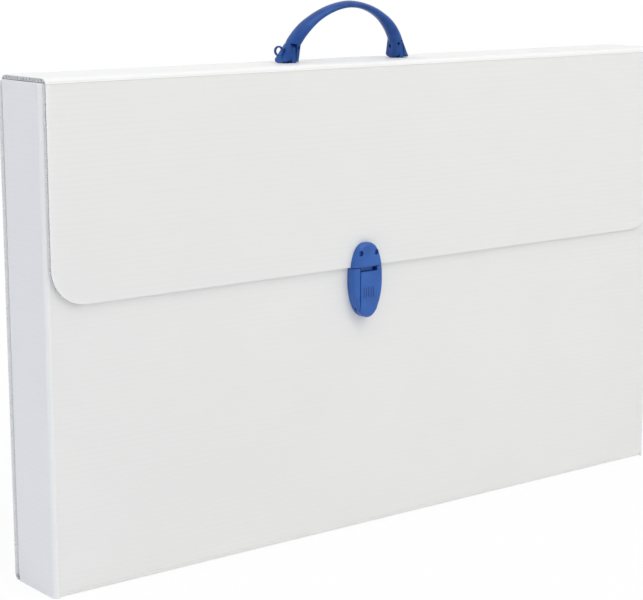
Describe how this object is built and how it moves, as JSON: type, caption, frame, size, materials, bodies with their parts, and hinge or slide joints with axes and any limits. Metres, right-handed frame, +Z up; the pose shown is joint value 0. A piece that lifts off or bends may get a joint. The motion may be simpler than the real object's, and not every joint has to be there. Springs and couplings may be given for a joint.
{
  "type": "document case",
  "caption": "Flat upright carrying case folded from white fluted plastic sheet, with hinged lid and front flap, swinging arched handle, sliding latch and a strap ring.",
  "frame": {"origin": "middle of the case's bottom face", "axes": "+X along the case's width (right, seen from the front), +Y from front to back, +Z up"},
  "size_m": [0.63, 0.07, 0.4273],
  "materials": {
    "white_sheet": "satin",
    "blue_plastic": "semi-gloss",
    "white_plate": "matte",
    "steel": "plain"
  },
  "bodies": {
    "case": {"front_panel": "white_sheet", "bottom_panel": "white_sheet", "back_panel": "white_sheet", "bottom_front_crease": "white_sheet", "bottom_rear_crease": "white_sheet", "left_side_panel": "white_sheet", "left_front_crease": "white_sheet", "left_rear_crease": "white_sheet", "left_rear_tab": "white_sheet", "left_bottom_crease": "white_sheet", "left_bottom_tab": "white_sheet", "right_side_panel": "white_sheet", "right_front_crease": "white_sheet", "right_rear_crease": "white_sheet", "right_rear_tab": "white_sheet", "right_bottom_crease": "white_sheet", "right_bottom_tab": "white_sheet", "lid_crease": "white_sheet", "lock_base": "blue_plastic", "lock_plate": "white_plate", "lock_screws": "steel"},
    "lid": {"lid_panel": "white_sheet", "flap_crease": "white_sheet", "left_handle_foot": "blue_plastic", "right_handle_foot": "blue_plastic", "handle_plate": "white_plate", "handle_screws": "steel"},
    "handle": {"handle_grip": "blue_plastic", "left_handle_pin": "blue_plastic", "right_handle_pin": "blue_plastic"},
    "flap": {"flap_panel": "white_sheet", "hasp_plate": "blue_plastic", "hasp_rivets": "blue_plastic"},
    "latch": {"latch_slider": "blue_plastic"}
  },
  "joints": [
    {"name": "lid_hinge", "type": "hinge", "parent": "case", "child": "lid", "pos_m": [0, 0.0294, 0.3794], "axis": [-1, 0, 0], "range_deg": [0, 175], "deforming": ["lid_crease"]},
    {"name": "flap_hinge", "type": "hinge", "parent": "lid", "child": "flap", "pos_m": [0, -0.0328, 0.3794], "axis": [-1, 0, 0], "range_deg": [0, 175], "deforming": ["flap_crease"]},
    {"name": "handle_swing", "type": "hinge", "parent": "lid", "child": "handle", "pos_m": [-0.0213, -0.0017, 0.3896], "axis": [1, 0, 0], "range_deg": [-56.3, 33.7]},
    {"name": "latch_slide", "type": "slide", "parent": "case", "child": "latch", "axis": [0, 0, 1], "range_m": [0, 0.003]}
  ]
}
